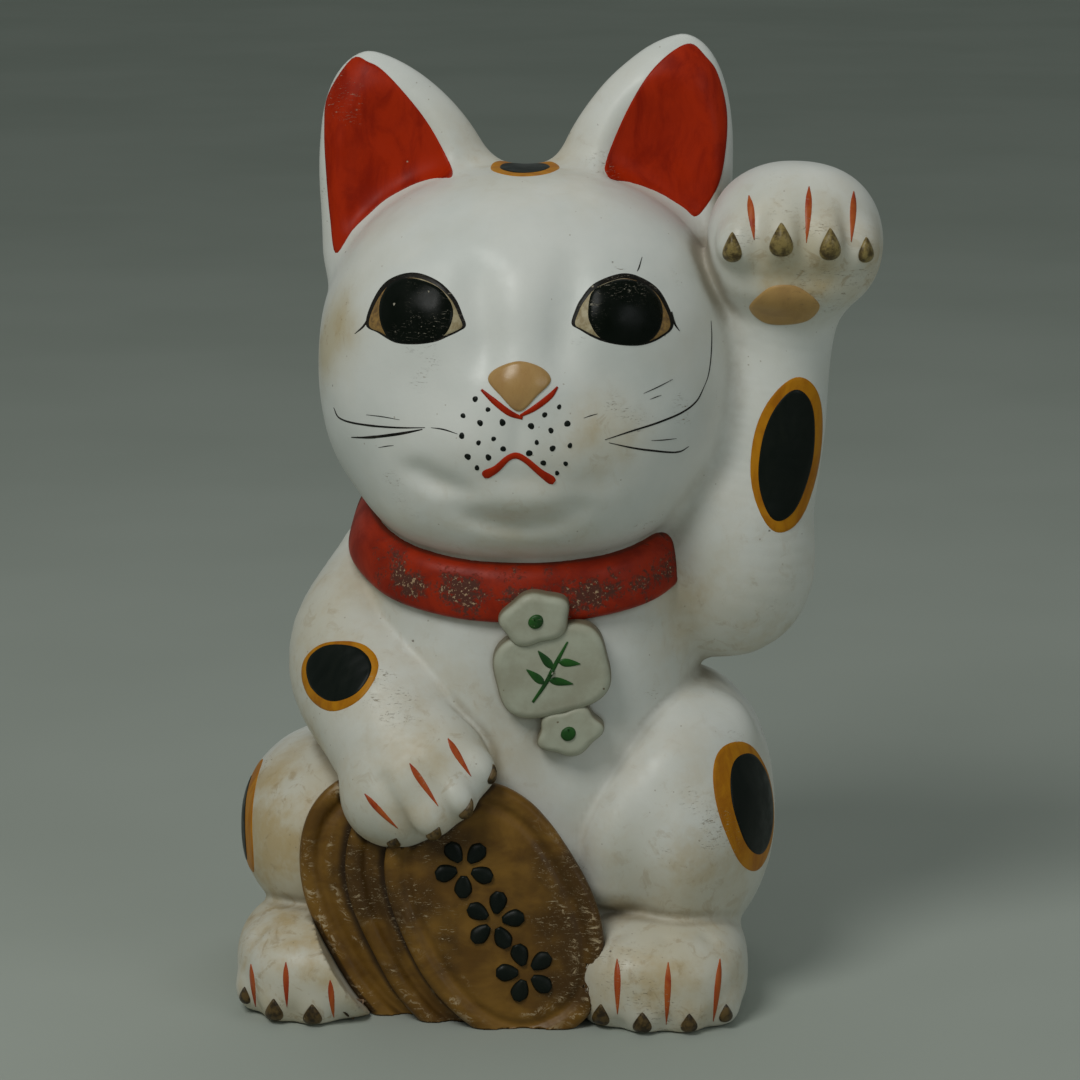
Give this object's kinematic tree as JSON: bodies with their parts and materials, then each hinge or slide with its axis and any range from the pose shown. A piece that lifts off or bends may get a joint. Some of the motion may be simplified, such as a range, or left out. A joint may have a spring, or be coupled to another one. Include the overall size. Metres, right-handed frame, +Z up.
{
  "type": "ceramic cat figurine",
  "caption": "Hollow ceramic beckoning cat sitting upright, one forepaw raised by its head, the other on a fan of oval coins, with collar, amulet and claws.",
  "frame": {"origin": "on the surface that the figurine stands on, under the middle of its box", "axes": "+Z up, the cat faces -Y, its own left side and raised paw are at +X"},
  "size_m": [0.2046, 0.1588, 0.303],
  "materials": {
    "white_slip": "satin",
    "red_enamel": "satin",
    "bare_clay": "matte",
    "grey_slip": "satin",
    "gold_brown": "satin",
    "claw_brown": "satin"
  },
  "bodies": {
    "root": {"amulet_drop": "grey_slip", "amulet_knot": "grey_slip", "amulet_plate": "grey_slip", "base_slab": "bare_clay", "body_back": "white_slip", "body_front": "white_slip", "coin_back": "gold_brown", "coin_front": "gold_brown", "coin_middle": "gold_brown", "collar": "red_enamel", "head_back": "white_slip", "head_front": "white_slip", "left_ear": "white_slip", "left_foot": "white_slip", "left_foot_claw_1": "claw_brown", "left_foot_claw_2": "claw_brown", "left_foot_claw_3": "claw_brown", "left_foot_claw_4": "claw_brown", "left_haunch": "white_slip", "lowered_arm": "white_slip", "lowered_claw_1": "claw_brown", "lowered_claw_2": "claw_brown", "lowered_claw_3": "claw_brown", "lowered_claw_4": "claw_brown", "raised_arm": "white_slip", "raised_claw_1": "claw_brown", "raised_claw_2": "claw_brown", "raised_claw_3": "claw_brown", "raised_claw_4": "claw_brown", "raised_paw": "white_slip", "right_ear": "white_slip", "right_foot": "white_slip", "right_foot_claw_1": "claw_brown", "right_foot_claw_2": "claw_brown", "right_foot_claw_3": "claw_brown", "right_haunch": "white_slip", "tail": "white_slip"}
  },
  "joints": []
}
